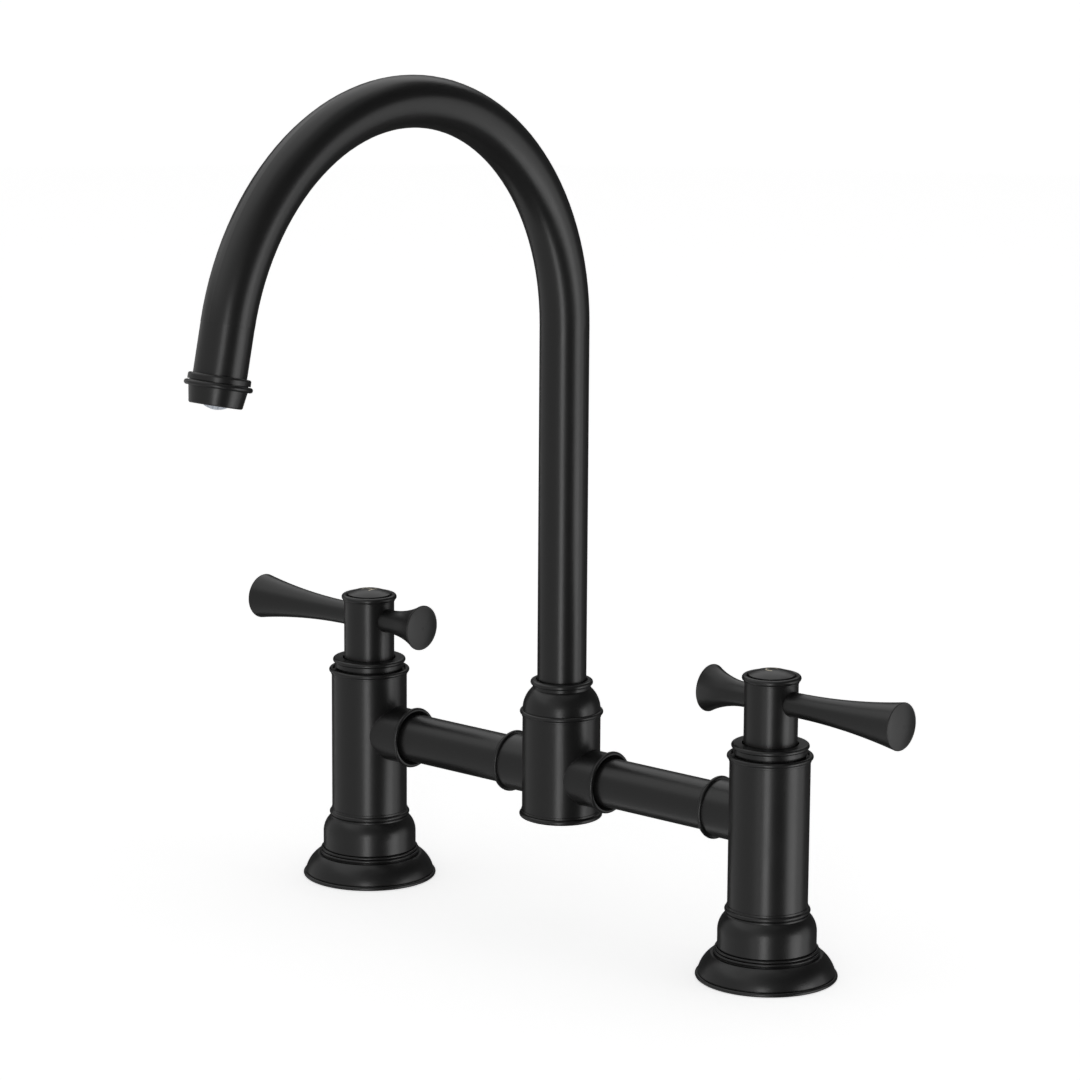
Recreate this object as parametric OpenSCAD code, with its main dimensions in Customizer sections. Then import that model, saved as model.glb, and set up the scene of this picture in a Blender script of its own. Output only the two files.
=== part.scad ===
// Bridge mixer tap for a kitchen sink: two turned pillars with quarter-turn levers, joined by a
// bridge, and a gooseneck spout that swivels on the centre body.
// Millimetres. The deck is the plane z = 0, the origin lies under the spout's swivel axis, +X runs
// from the hot pillar to the cold one, and the spout reaches towards the user along -Y.

/* [Layout] */
// Distance between the axes of the two pillars
inlet_centres = 235; // [215:1:260]
// Height of the bridge's axis above the deck
bridge_z = 70.4; // [68.4:0.2:72.4]
// Radial gap between screwed or plugged pieces
screw_gap = 0.05; // [0.02:0.01:0.1]
// Radial and end gap between pieces that turn on each other
running_gap = 0.05; // [0.02:0.01:0.09]
// Gap between a turning piece and the cover around it
cover_gap = 0.6; // [0.4:0.1:0.9]

/* [Base flange] */
// Diameter over the foot bead of the flange
flange_d = 62; // [58:0.5:68]
// Height of the flange
flange_h = 12.2; // [11.8:0.1:14]
// Radius of the foot bead's section
foot_bead_r = 0.9; // [0.7:0.1:1.1]
// Radius of the flange's rounded flank
flank_r = 14; // [13.6:0.1:16]
// Angle at which that flank leans in at its foot
flank_lean = 13; // [11:1:18]
// Radius of the fine rings at the foot of the bell and the top of the flange
fine_ring_r = 0.6; // [0.4:0.1:0.7]
// Distance from the flange's edge in to the rubber gasket
gasket_inset = 4; // [3:0.5:6]
// Width of the gasket
gasket_w = 7; // [5:0.5:8]
// Thickness of the gasket
gasket_h = 2; // [1:0.5:3]

/* [Bell] */
// Diameter of the bell
bell_d = 43.2; // [41:0.2:44]
// Height of the bell
bell_h = 16.8; // [16.2:0.1:18]
// Height of the bell's straight flank
bell_flank_h = 8.6; // [7:0.1:8.8]
// Radius of the bell's rounded shoulder
bell_shoulder_r = 10; // [8:0.5:11]
// Wall of the bell
bell_wall = 3; // [2:0.5:4]
// Diameter of the neck on which the pillar stands
neck_d = 36.4; // [35.8:0.1:37]

/* [Pillars and centre body] */
// Diameter of the columns
column_d = 35; // [34:0.2:36.4]
// Height of a pillar from the bell to its mouth
pillar_h = 70.6; // [68:0.2:76]
// How far a bead stands proud of the column
bead_proud = 1.2; // [0.8:0.1:1.6]
// Radius of a bead's section
bead_r = 1; // [0.8:0.1:1.2]
// Height of the fine step beside each bead
step_h = 0.9; // [0.5:0.1:1.2]
// How far the fine step stands proud
step_proud = 0.3; // [0.2:0.1:0.5]
// Length of the centre body above the bridge's axis
body_above = 29; // [26:0.2:34]
// Length of the centre body below the bridge's axis, to the joint of the bottom cap
body_below = 18; // [16:0.2:22]
// Depth of the recess in a pillar's mouth, where the collar sits
mouth_depth = 1.2; // [0.8:0.1:2]
// Wall left round the recess
mouth_wall = 0.8; // [0.4:0.1:1]
// Diameter of the threaded shank
shank_d = 27; // [25:0.5:29]
// Height of the shank's end above the deck
shank_end_z = 2; // [1:0.5:4]
// Minor diameter of the inlet's half-inch pipe thread
inlet_thread_d = 18.6; // [18:0.1:19.2]
// Depth of the inlet's thread
inlet_thread_l = 16; // [12:1:20]
// Diameter of the water way up the pillar
waterway_d = 13; // [10:0.5:14]

/* [Branch sockets] */
// Outer diameter of the bridge tubes
bridge_tube_d = 22; // [21:0.5:22.5]
// Wall of the bridge tubes
bridge_tube_wall = 2.5; // [2.2:0.1:3.5]
// Wall of a socket round its tube
socket_wall = 1.7; // [1.4:0.1:2.2]
// Distance from a body's axis to the mouth of its sockets
socket_reach = 29.3; // [28:0.1:34]
// How far a tube goes into its socket
tube_insertion = 10.3; // [8.5:0.1:11]
// Radius of the socket's lip
lip_r = 1.1; // [0.8:0.1:1.4]
// How far the lip stands proud of the socket
lip_proud = 1.25; // [0.9:0.05:1.6]
// Depth of the countersunk mouth
mouth_sink = 1.8; // [1:0.1:2.4]
// Diameter of the water way through a branch
branch_bore_d = 15; // [12:0.5:16]

/* [Bottom cap] */
// Thickness of the cap's rim
cap_rim_h = 2.5; // [2.4:0.1:3.5]
// Diameter of the cap's plug
cap_plug_d = 28; // [26:0.5:29]
// Length of the plug
cap_plug_h = 5; // [3:0.5:6]
// Size across the flats of the hexagon recess
cap_hex = 12; // [8:1:14]

/* [Collar] */
// Height of the collar above the recess
collar_h = 6; // [5:0.2:8]
// Diameter over the collar's rounded rim
collar_d = 33.8; // [33:0.2:35]
// Thickness of the collar's rim
collar_rim_h = 2.1; // [1.5:0.1:2.6]
// Diameter of the plain band under the rim
collar_band_d = 32.2; // [31.4:0.2:33]
// Height of that band
collar_band_h = 2; // [1.2:0.1:2.6]
// Length of the threaded skirt
skirt_h = 5.4; // [3:0.2:5.6]
// Wall of the threaded skirt
skirt_wall = 1.7; // [1:0.1:2]

/* [Cartridge] */
// Depth of the cartridge's seat below the recess in the mouth
cart_seat_depth = 6.4; // [6:0.2:8]
// Major diameter of the cartridge's half-inch pipe thread
cart_thread_d = 20.9; // [20.4:0.1:21]
// Length of the cartridge's thread
cart_thread_h = 12; // [10:0.5:14]
// Diameter of the cartridge below its thread
cart_body_d = 18.4; // [17.8:0.1:19]
// Length of the cartridge below its thread
cart_body_h = 21.4; // [20:0.2:24]
// Wall of the cartridge below its thread
cart_wall = 1.2; // [0.9:0.1:1.5]
// Diameter of the cartridge's round shoulder
cart_shoulder_d = 24.2; // [23.4:0.1:24.4]
// Thickness of the shoulder
cart_shoulder_h = 1.8; // [1:0.2:2.4]
// Size of the hexagon across its flats
cart_hex = 20; // [18:0.5:21]
// Height of the hexagon
cart_hex_h = 7; // [5:0.2:7.2]
// Width of the side windows
window_w = 9; // [6:0.5:11]
// Height of the side windows
window_h = 8; // [6:0.5:8.5]
// Height of the valve seal's ring
seal_h = 2.2; // [1.6:0.2:3]
// Gap at the end of the cartridge that the seal bridges
seal_gap = 0.6; // [0.4:0.1:1]
// Thickness of the fixed and of the moving ceramic disc
disc_h = 3; // [2:0.2:3.4]
// Diameter of the chamber round the cartridge
chamber_d = 22; // [21.4:0.2:24]

/* [Spindle] */
// Diameter of the spindle's journal
journal_d = 9; // [8:0.2:10]
// Thickness of the disc carrier
carrier_h = 4; // [3:0.2:5]
// Diameter over the spline's teeth
spline_d = 8; // [7:0.2:8.4]
// Number of teeth of the spline
spline_teeth = 20; // [12:1:24]
// Depth of the spline's teeth
spline_tooth = 0.45; // [0.3:0.05:0.6]
// Length of the spline
spline_l = 13.6; // [12:0.2:14.4]
// Diameter of the handle screw's thread
screw_d = 4; // [3:0.5:4.5]
// Length of the handle screw below its head
screw_l = 20; // [17:0.5:22]
// Diameter of the screw's head
screw_head_d = 7; // [6:0.5:8]
// Height of the screw's head
screw_head_h = 2.4; // [1.6:0.2:2.8]
// Size of the screw's hexagon recess across its flats
screw_hex = 2.5; // [2:0.5:3]

/* [Handles] */
// Diameter of the hub
hub_d = 23.3; // [22.6:0.1:24]
// Height of the hub
hub_h = 31.6; // [31:0.2:36]
// How far the hub's foot sinks into the collar
hub_sink = 1.6; // [0.8:0.1:2.2]
// Radius of the bead round the hub's top
hub_bead_r = 1.3; // [1.1:0.05:1.4]
// How far that bead stands proud of the hub
hub_bead_proud = 1.15; // [0.8:0.05:1.5]
// Depth of the recess for the index cap
cap_recess = 1.8; // [1.2:0.1:2]
// Diameter of the index cap
index_cap_d = 20; // [18:0.5:20.5]
// Radial gap between the index cap's lip and the recess
cap_groove = 0.3; // [0.2:0.05:0.5]
// Thickness of the index cap's lip
cap_lip_h = 0.5; // [0.3:0.1:0.8]
// Height of the dome's top above the hub
dome_rise = 2.5; // [2:0.1:3.2]
// Radius of the dome
dome_r = 23.5; // [20:0.5:30]
// Height of the levers' axis above the hub's foot
lever_z = 20.4; // [20:0.1:21]
// Diameter of the levers where they leave the hub
lever_root_d = 10.7; // [9.5:0.1:11]
// Diameter of the levers' ends
lever_end_d = 20.8; // [18:0.2:23]
// Distance from the hub's axis to the long lever's rim
long_lever_reach = 68.5; // [58:0.5:80]
// Distance from the hub's axis at which the long lever starts to flare
long_flare_start = 13.5; // [12.5:0.5:20]
// Distance from the hub's axis to the short lever's rim
short_lever_reach = 33.2; // [30:0.1:38]
// Distance from the hub's axis at which the short lever starts to flare
short_flare_start = 13; // [12:0.5:16]
// Width of the plain rim round a lever's end
rim_w = 0.8; // [0.5:0.1:1.2]
// How far the crowned end face stands out of its rim
crown = 0.9; // [0.4:0.1:1.4]
// Distance from the hub's axis to the seat of a lever
lever_seat = 8; // [7:0.2:9]
// Diameter of a lever's threaded stub
stub_d = 6; // [5:0.5:7]
// Length of the stub
stub_l = 2.8; // [2:0.2:3.4]

/* [Swivel] */
// Diameter of the stem that turns in the centre body
stem_d = 19.9; // [18.5:0.1:20.5]
// Length of the stem below its flange
stem_l = 19; // [17:0.5:21]
// Diameter of the stem's flange
stem_flange_d = 25.2; // [24:0.2:25.4]
// Thickness of the stem's flange
stem_flange_h = 2.75; // [2:0.05:3.5]
// Length of the stem inside the spout tube
stem_plug_l = 12; // [8:0.5:16]
// Diameter of the stem's water way
stem_bore_d = 13; // [11:0.5:14]
// Thickness of the bearing rings
bearing_h = 1.2; // [0.8:0.1:1.6]
// Outer diameter of the bearing rings
bearing_d = 25.6; // [25.2:0.1:25.7]
// Diameter of the neck on which the swivel nut is screwed
nut_thread_d = 30; // [29:0.1:30.6]
// Wall of that neck
nut_neck_wall = 2.1; // [1.6:0.1:2.2]
// Depth of the lower bearing ring's seat inside the neck, measured up from the bead
bearing_seat = 0.6; // [0.2:0.1:1]
// Height of the swivel nut
nut_h = 13.8; // [13.4:0.1:15]
// Radius of the nut's dome
nut_dome_r = 13; // [12.5:0.1:14]
// Radius of the bead round the nut's top
nut_bead_r = 1.2; // [0.9:0.1:1.3]
// Diameter over that bead
nut_bead_d = 28; // [27.6:0.1:29]
// Depth of the recess in the nut's top
nut_recess = 1.6; // [0.8:0.1:2.2]

/* [Spout] */
// Outer diameter of the spout tube
spout_d = 22; // [20:0.2:22.4]
// Wall of the spout tube
spout_wall = 1.5; // [1:0.1:2]
// Height of the bend's centre above the deck
bend_z = 272.8; // [220:1:300]
// Radius of the bend, at the tube's axis
bend_r = 105.5; // [80:1:115]
// Angle through which the tube bends
bend_angle = 167; // [140:1:180]
// Straight length from the bend to the nozzle
spout_end_l = 20.4; // [15:0.2:60]

/* [Nozzle] */
// Length of the nozzle
nozzle_l = 12.2; // [12:0.1:16]
// Diameter of the nozzle's upper band
nozzle_band_d = 25.6; // [25:0.1:26.4]
// Height of the nozzle's upper band
nozzle_band_h = 3.1; // [2.6:0.1:3.4]
// Radius of the nozzle's bead
nozzle_bead_r = 1.1; // [0.9:0.1:1.3]
// Diameter over the nozzle's bead
nozzle_bead_d = 27.9; // [27.4:0.1:29]
// Diameter of the cone below the bead
nozzle_cone_d = 24.3; // [24:0.1:25]
// Diameter of the cone at its end
nozzle_end_d = 22; // [21.6:0.1:23]
// Radius of the rounded end
nozzle_end_r = 0.8; // [0.4:0.1:1]
// How far the spout tube goes into the nozzle
nozzle_socket_l = 5.6; // [4.5:0.1:6]
// Diameter of the aerator's thread
aerator_d = 18.5; // [17:0.1:18.8]
// Thickness of the lip on which the washer bears
aerator_lip_h = 1.2; // [0.8:0.1:1.6]
// Thickness of the aerator's washer
washer_h = 1.2; // [0.8:0.1:1.4]
// Diameter of the insert's dome
insert_d = 11.2; // [10:0.2:12]
// How far the insert's dome stands out of the nozzle
insert_proud = 1.5; // [0.8:0.1:2]
// Number of slots in the insert
insert_slots = 12; // [6:1:16]

/* [Hidden] */

$fn = 96;
round_fn = 144;
eps = 0.01;

matte_black = "#262626";
brass = "#b08d4f";
rubber = "#1b1b1b";
ceramic = "#ece8dd";
acetal = "#e6e4df";
steel = "#b9bcc0";
frosted = "#aeb6c2";

hot = -1;
cold = 1;

// Metal between a lever's root and the seat of the handle screw's head
head_cover = 0.8;
// Depth of the spindle's rubber ring below the cartridge's seat
spindle_ring_depth = 4;
// Radial gap round the discs, their carrier and the cartridge's shoulder
loose_gap = 0.1;
// Gap above the neck, so that the swivel nut bears on the body's bead
neck_gap = 0.6;
// How far a tapped or splined hole runs on past the piece in it
run_out = 1;
// How far the collar is turned down below its band, and the index cap below its lip
undercut = 0.6;
// Width and depth of the quirks, the fine grooves beside the rings of the base
quirk_w = 0.5;
quirk_depth = 0.6;
// Width of the finer quirk above the bell's foot ring
ring_quirk_w = 0.35;
// How far the flange's flank is set in from the crest of its foot bead
flank_inset = 1;
// Height from a pillar's foot to its foot bead
bead_foot = 0.3;
// How far a bead is set in from the flat beside it
bead_inset = 0.1;
// Height of the fine step under the beads of hub and nut
fillet_h = 0.5;
// Radial gap round the head of the handle screw
head_gap = 0.3;
// Length of the peg under the index cap
cap_peg_l = 0.6;
// Gap at the blind end of a hole
end_gap = 0.2;
// Width of the land left round a socket's countersunk mouth
mouth_land = 0.1;
// Width of the spindle's shoulder, which holds it down in the cartridge
retainer_w = 2;

// Heights of the pillar's stack above the deck
bell_z = flange_h;
pillar_z = bell_z + bell_h;
pillar_top = pillar_z + pillar_h;
mouth_z = pillar_top - mouth_depth;
collar_top = mouth_z + collar_h;
cart_seat_z = mouth_z - cart_seat_depth;
cart_thread_z = cart_seat_z - cart_thread_h;
cart_end_z = cart_thread_z - cart_body_h;
valve_seat_z = cart_end_z - seal_gap;
fixed_disc_z = valve_seat_z + seal_h;
moving_disc_z = fixed_disc_z + disc_h + running_gap;
carrier_z = moving_disc_z + disc_h;
hub_z = collar_top - hub_sink;
hub_top = hub_z + hub_h;
recess_z = hub_top - cap_recess;
lever_axis_z = hub_z + lever_z;
head_z = lever_axis_z + lever_root_d / 2 + head_cover;
screw_tip = head_z - screw_l;
spindle_top = hub_z + spline_l;
spindle_ring_z = cart_seat_z - spindle_ring_depth;
cart_o_ring_h = 1.2;
shoulder_z = cart_seat_z + cart_o_ring_h;
hex_z = shoulder_z + cart_shoulder_h;
hex_top = hex_z + cart_hex_h;

// Radii that mating pieces share
column_r = column_d / 2;
shank_r = shank_d / 2;
gasket_r = flange_d / 2 - gasket_inset;
gasket_bore_r = gasket_r - gasket_w;
mouth_r = column_r + bead_proud - bead_r - mouth_wall;
hub_r = hub_d / 2;
collar_bore_r = max(hub_r + cover_gap, cart_shoulder_d / 2 + loose_gap);
skirt_r = collar_bore_r + skirt_wall;
socket_bore_r = bridge_tube_d / 2 + screw_gap;
socket_r = socket_bore_r + socket_wall;
chamber_r = chamber_d / 2;
cart_cavity_r = cart_body_d / 2 - cart_wall;
disc_r = cart_cavity_r - loose_gap;
tube_end = socket_reach - tube_insertion;

// Heights of the swivel above the deck
body_top = bridge_z + body_above;
body_bottom = bridge_z - body_below;
bearing_floor_z = body_top + bearing_seat;
stem_flange_z = bearing_floor_z + bearing_h + running_gap;
tube_foot_z = stem_flange_z + stem_flange_h;
upper_bearing_z = tube_foot_z + running_gap;
nut_shoulder_z = upper_bearing_z + bearing_h;
neck_top = nut_shoulder_z - neck_gap;
nut_top = body_top + nut_h;
stem_foot_z = stem_flange_z - stem_l;
spout_r = spout_d / 2;
stem_r = stem_d / 2;
body_chamber_r = 13;

// Width of the lip on which the aerator's washer bears, and of the washer
aerator_lip_w = 1.2;
washer_w = 2;
// How far the aerator's housing lies inside the nozzle's mouth
housing_inset = 0.3;

// Distances along the flow from the foot of the nozzle
washer_z = nozzle_socket_l + aerator_lip_h;
housing_z = washer_z + washer_h;
dome_foot_z = nozzle_l - housing_inset;
screen_h = 0.5;
screen_holes = 6;
screen_hole_r = 0.9;
insert_slot_w = 0.5;
insert_slot_l = 2.2;
insert_rim_w = 0.8;
rim_edge_r = 0.4;

// The spout's straight end laps into the bend
end_lap = 1;
end_skim = 0.05;

// Rubber rings fill their grooves and stop just short of the bore
ring_gap = 0.02;
spindle_groove_depth = 1.05;
spindle_groove_w = 1.2;
cap_ring_h = 1.4;
bridge_groove_depth = 1.25;
bridge_groove_w = 1.5;
bridge_ring_inset = 4;
stem_groove_depth = 1.85;
stem_groove_w = 2.2;
stem_ring_z = [stem_foot_z + 4, stem_foot_z + 10];

// A torus of rubber between two radii, centred on height z
module o_ring(r_in, r_out, z) {
    section = (r_out - r_in) / 2;
    translate([0, 0, z])
        rotate_extrude($fn = 72)
            translate([r_in + section, 0])
                circle(section, $fn = 32);
}

// A plain ring from z up to z + h
module ring(r_in, r_out, z, h) {
    rotate_extrude()
        translate([r_in, z])
            square([r_out - r_in, h]);
}

// The section of a bead whose crest lies at radius r_out
module bead(r_out, z, section) {
    translate([r_out - section, z])
        circle(section, $fn = 48);
}

// A rectangle of a turned section, from the axis out to r
module turned(r, z, h) {
    translate([0, z])
        square([r, h]);
}

// A regular hexagon by its size across the flats
module hexagon(flats, h) {
    cylinder(h = h, d = flats / cos(30), $fn = 6);
}

// Places a pillar's piece on the hot or the cold side; the branch points to the centre
module at_pillar(side) {
    translate([side * inlet_centres / 2, 0, 0])
        rotate([0, 0, side == hot ? 0 : 180])
            children();
}

// Base flange and its gasket

// Crests of the two fine rings, on the flange's top and at the bell's foot
flange_ring_r = bell_d / 2 + 1.7;
bell_ring_r = bell_d / 2 + 1.05;

// Foot bead, quirk, rounded flank, a second quirk and the ring that the bell stands on
module flange_section() {
    flank_edge_r = flange_d / 2 - flank_inset;
    flank_x = flank_edge_r - flank_r * cos(flank_lean);
    quirk_z = 2 * foot_bead_r - bead_inset;
    flank_z = quirk_z + quirk_w;
    flank_top = flange_h - 2 * fine_ring_r - quirk_w;
    turned(flank_edge_r, 0, quirk_z);
    turned(flank_edge_r - quirk_depth, 0, flank_z + eps);
    intersection() {
        translate([flank_x, flank_z - flank_r * sin(flank_lean)])
            circle(flank_r, $fn = round_fn);
        turned(flank_edge_r, flank_z, flank_top - flank_z);
    }
    intersection() {
        bead(flange_d / 2, foot_bead_r - bead_inset, foot_bead_r);
        turned(flange_d / 2, 0, flange_h);
    }
    turned(flange_ring_r - fine_ring_r, 0, flange_h);
    bead(flange_ring_r, flange_h - fine_ring_r, fine_ring_r);
}

module base_flange() {
    relief_h = 8;
    groove_wall = 1;
    color(matte_black)
        rotate_extrude()
            difference() {
                flange_section();
                turned(shank_r + screw_gap, -eps, flange_h + 2 * eps);
                turned(gasket_bore_r - groove_wall, -eps, relief_h + eps);
                translate([gasket_bore_r, -eps])
                    square([gasket_w, gasket_h + eps]);
            }
}

module base_gasket() {
    color(rubber)
        ring(gasket_bore_r, gasket_r, 0, gasket_h);
}

// Bell: a shell with a rounded shoulder, threaded on the shank at its neck

module bell() {
    shoulder_x = bell_d / 2 - bell_shoulder_r;
    ring_z = fine_ring_r + bead_inset;
    flank_z = ring_z + fine_ring_r + ring_quirk_w;
    color(matte_black)
        translate([0, 0, bell_z])
            rotate_extrude()
                difference() {
                    union() {
                        turned(bell_d / 2 - quirk_depth, 0, bell_flank_h);
                        turned(bell_d / 2, flank_z, bell_flank_h - flank_z);
                        intersection() {
                            translate([shoulder_x, bell_flank_h])
                                circle(bell_shoulder_r, $fn = round_fn);
                            turned(bell_d / 2, 0, bell_h);
                        }
                        turned(neck_d / 2, 0, bell_h);
                        turned(bell_ring_r - fine_ring_r, 0, ring_z);
                        bead(bell_ring_r, ring_z, fine_ring_r);
                    }
                    turned(shank_r + screw_gap, -eps, bell_h + 2 * eps);
                    turned(bell_d / 2 - bell_wall, -eps, bell_flank_h);
                }
}

// Pillar: shank, column between two beads, and a branch for the bridge

module pillar_section() {
    foot_bead_z = pillar_z + bead_foot + bead_r;
    top_bead_z = pillar_top - bead_r;
    crest_r = column_r + bead_proud;
    turned(shank_r, shank_end_z, pillar_h);
    turned(column_r, pillar_z, pillar_h);
    turned(column_r + step_proud, pillar_z, bead_foot + 2 * bead_r + step_h);
    bead(crest_r, foot_bead_z, bead_r);
    turned(column_r + step_proud, top_bead_z - bead_r - step_h, bead_r + step_h);
    turned(crest_r - bead_r, top_bead_z, bead_r);
    bead(crest_r, top_bead_z, bead_r);
}

// Outside of a branch that leaves a body along +X, with its rounded lip
module branch() {
    lip_z = socket_reach - lip_r;
    crest_r = socket_r + lip_proud;
    translate([0, 0, bridge_z])
        rotate([0, 90, 0])
            rotate_extrude() {
                turned(socket_r, 0, lip_z);
                turned(crest_r - lip_r, lip_z - lip_r, 2 * lip_r);
                bead(crest_r, lip_z, lip_r);
            }
}

// What a branch takes out of its body: water way, tube socket and countersunk mouth
module branch_bore() {
    translate([0, 0, bridge_z])
        rotate([0, 90, 0]) {
            cylinder(h = socket_reach, d = branch_bore_d);
            translate([0, 0, tube_end])
                cylinder(h = socket_reach, r = socket_bore_r);
            translate([0, 0, socket_reach - mouth_sink])
                cylinder(h = mouth_sink + eps, r1 = socket_bore_r, r2 = socket_r - mouth_land);
        }
}

module pillar() {
    color(matte_black)
        difference() {
            union() {
                rotate_extrude()
                    pillar_section();
                branch();
            }
            translate([0, 0, shank_end_z - eps])
                cylinder(h = inlet_thread_l + eps, d = inlet_thread_d);
            translate([0, 0, shank_end_z])
                cylinder(h = valve_seat_z - shank_end_z + eps, d = waterway_d);
            translate([0, 0, valve_seat_z])
                cylinder(h = cart_thread_z - valve_seat_z, r = chamber_r);
            translate([0, 0, valve_seat_z])
                cylinder(h = pillar_h, r = cart_thread_d / 2 + screw_gap);
            translate([0, 0, cart_seat_z])
                cylinder(h = pillar_h, r = skirt_r + screw_gap);
            translate([0, 0, mouth_z])
                cylinder(h = pillar_h, r = mouth_r);
            branch_bore();
        }
}

// Bonnet collar: a rimmed ring whose skirt screws into the pillar's mouth

module collar() {
    band_r = collar_band_d / 2;
    rim_r = collar_rim_h / 2;
    rim_z = collar_top - rim_r;
    band_z = collar_top - collar_rim_h - collar_band_h;
    color(matte_black)
        rotate_extrude()
            difference() {
                union() {
                    turned(skirt_r, mouth_z - skirt_h, skirt_h + eps);
                    turned(band_r - undercut, mouth_z, collar_h - rim_r);
                    turned(band_r, band_z, collar_band_h + rim_r / 2);
                    turned(collar_d / 2 - rim_r, rim_z - rim_r, collar_rim_h);
                    bead(collar_d / 2, rim_z, rim_r);
                }
                turned(collar_bore_r, mouth_z - skirt_h - eps, skirt_h + collar_h + 2 * eps);
            }
}

// Ceramic cartridge: body, rubber rings and discs

module cartridge() {
    bore_r = journal_d / 2 + running_gap;
    color(brass)
        difference() {
            union() {
                translate([0, 0, cart_end_z])
                    cylinder(h = cart_body_h + eps, d = cart_body_d);
                translate([0, 0, cart_thread_z])
                    cylinder(h = shoulder_z - cart_thread_z + eps, d = cart_thread_d);
                translate([0, 0, shoulder_z])
                    cylinder(h = cart_shoulder_h, d = cart_shoulder_d);
                translate([0, 0, hex_z])
                    hexagon(cart_hex, cart_hex_h);
            }
            translate([0, 0, cart_end_z - eps])
                cylinder(h = cart_body_h + eps, r = cart_cavity_r);
            translate([0, 0, cart_end_z])
                cylinder(h = hex_top, r = bore_r);
            translate([-cart_body_d, -window_w / 2, moving_disc_z])
                cube([2 * cart_body_d, window_w, window_h]);
        }
}

module cartridge_o_ring() {
    color(rubber)
        ring(cart_thread_d / 2 + screw_gap, cart_shoulder_d / 2, cart_seat_z, cart_o_ring_h);
}

module valve_seal() {
    color(rubber)
        ring(waterway_d / 2 - 0.5, cart_cavity_r - screw_gap, valve_seat_z, seal_h);
}

// The fixed disc has a round port on each side of the axis
module fixed_disc() {
    port_r = 0.3 * disc_r;
    color(ceramic)
        translate([0, 0, fixed_disc_z])
            difference() {
                cylinder(h = disc_h, r = disc_r);
                for (s = [-1, 1])
                    translate([s * disc_r / 2, 0, -eps])
                        cylinder(h = disc_h + 2 * eps, r = port_r);
            }
}

// The moving disc is notched a quarter turn away from the fixed ports while the valve is shut
module moving_disc() {
    port_r = 0.3 * disc_r;
    color(ceramic)
        translate([0, 0, moving_disc_z])
            difference() {
                cylinder(h = disc_h, r = disc_r);
                for (s = [-1, 1])
                    translate([0, s * disc_r, -eps])
                        cylinder(h = disc_h + 2 * eps, r = 2 * port_r);
            }
}

// Spindle, its rubber ring and the handle screw

// A toothed bar: each tooth has a flat tip, a flat root and two sloping flanks
module spline(r_tip, h) {
    points = [
        for (i = [0 : spline_teeth - 1])
            for (k = [0 : 3])
                let (a = (i + [0, 0.3, 0.5, 0.8][k]) * 360 / spline_teeth)
                let (r = k < 2 ? r_tip : r_tip - spline_tooth)
                [r * cos(a), r * sin(a)]
    ];
    linear_extrude(h)
        polygon(points);
}

module spindle() {
    retainer_r = journal_d / 2 + retainer_w;
    color(brass)
        difference() {
            union() {
                translate([0, 0, carrier_z])
                    cylinder(h = carrier_h, r = disc_r);
                translate([0, 0, carrier_z])
                    cylinder(h = cart_thread_z - running_gap - carrier_z, r = retainer_r);
                translate([0, 0, carrier_z])
                    cylinder(h = hub_z - carrier_z, d = journal_d);
                translate([0, 0, hub_z - eps])
                    spline(spline_d / 2, spline_l + eps);
            }
            ring(journal_d / 2 - spindle_groove_depth, journal_d,
                 spindle_ring_z - spindle_groove_w / 2, spindle_groove_w);
            translate([0, 0, screw_tip - run_out])
                cylinder(h = spindle_top - screw_tip + 2 * run_out,
                         r = screw_d / 2 + screw_gap);
        }
}

module spindle_o_ring() {
    color(rubber)
        o_ring(journal_d / 2 - spindle_groove_depth, journal_d / 2 + running_gap - ring_gap,
               spindle_ring_z);
}

module handle_screw() {
    color(steel)
        difference() {
            union() {
                translate([0, 0, screw_tip])
                    cylinder(h = screw_l + eps, d = screw_d);
                translate([0, 0, head_z])
                    cylinder(h = screw_head_h, d = screw_head_d);
            }
            translate([0, 0, head_z + screw_head_h / 2])
                hexagon(screw_hex, screw_head_h);
        }
}

// Handle: hub, two trumpet levers and index cap

// Counterbore and tapped hole that take a lever's root, along +Z
module lever_hole() {
    translate([0, 0, lever_seat])
        cylinder(h = hub_d, r = lever_root_d / 2 + screw_gap);
    translate([0, 0, lever_seat - stub_l - end_gap])
        cylinder(h = hub_d, r = stub_d / 2 + screw_gap);
}

module hub() {
    bead_z = hub_top - hub_bead_r;
    crest_r = hub_r + hub_bead_proud;
    color(matte_black)
        difference() {
            rotate_extrude() {
                turned(hub_r, hub_z, bead_z - hub_z);
                turned(hub_r + step_proud, bead_z - hub_bead_r - fillet_h, hub_bead_r);
                bead(crest_r, bead_z, hub_bead_r);
            }
            translate([0, 0, hub_z - eps])
                spline(spline_d / 2 + screw_gap, spindle_top - hub_z + end_gap + eps);
            translate([0, 0, hub_z])
                cylinder(h = hub_h, r = screw_d / 2 + screw_gap);
            translate([0, 0, head_z])
                cylinder(h = hub_h, r = screw_head_d / 2 + head_gap);
            translate([0, 0, recess_z])
                cylinder(h = hub_h, r = index_cap_d / 2 + cap_groove);
            for (turn = [0, 180])
                translate([0, 0, lever_axis_z])
                    rotate([0, 90, turn])
                        lever_hole();
        }
}

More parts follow.
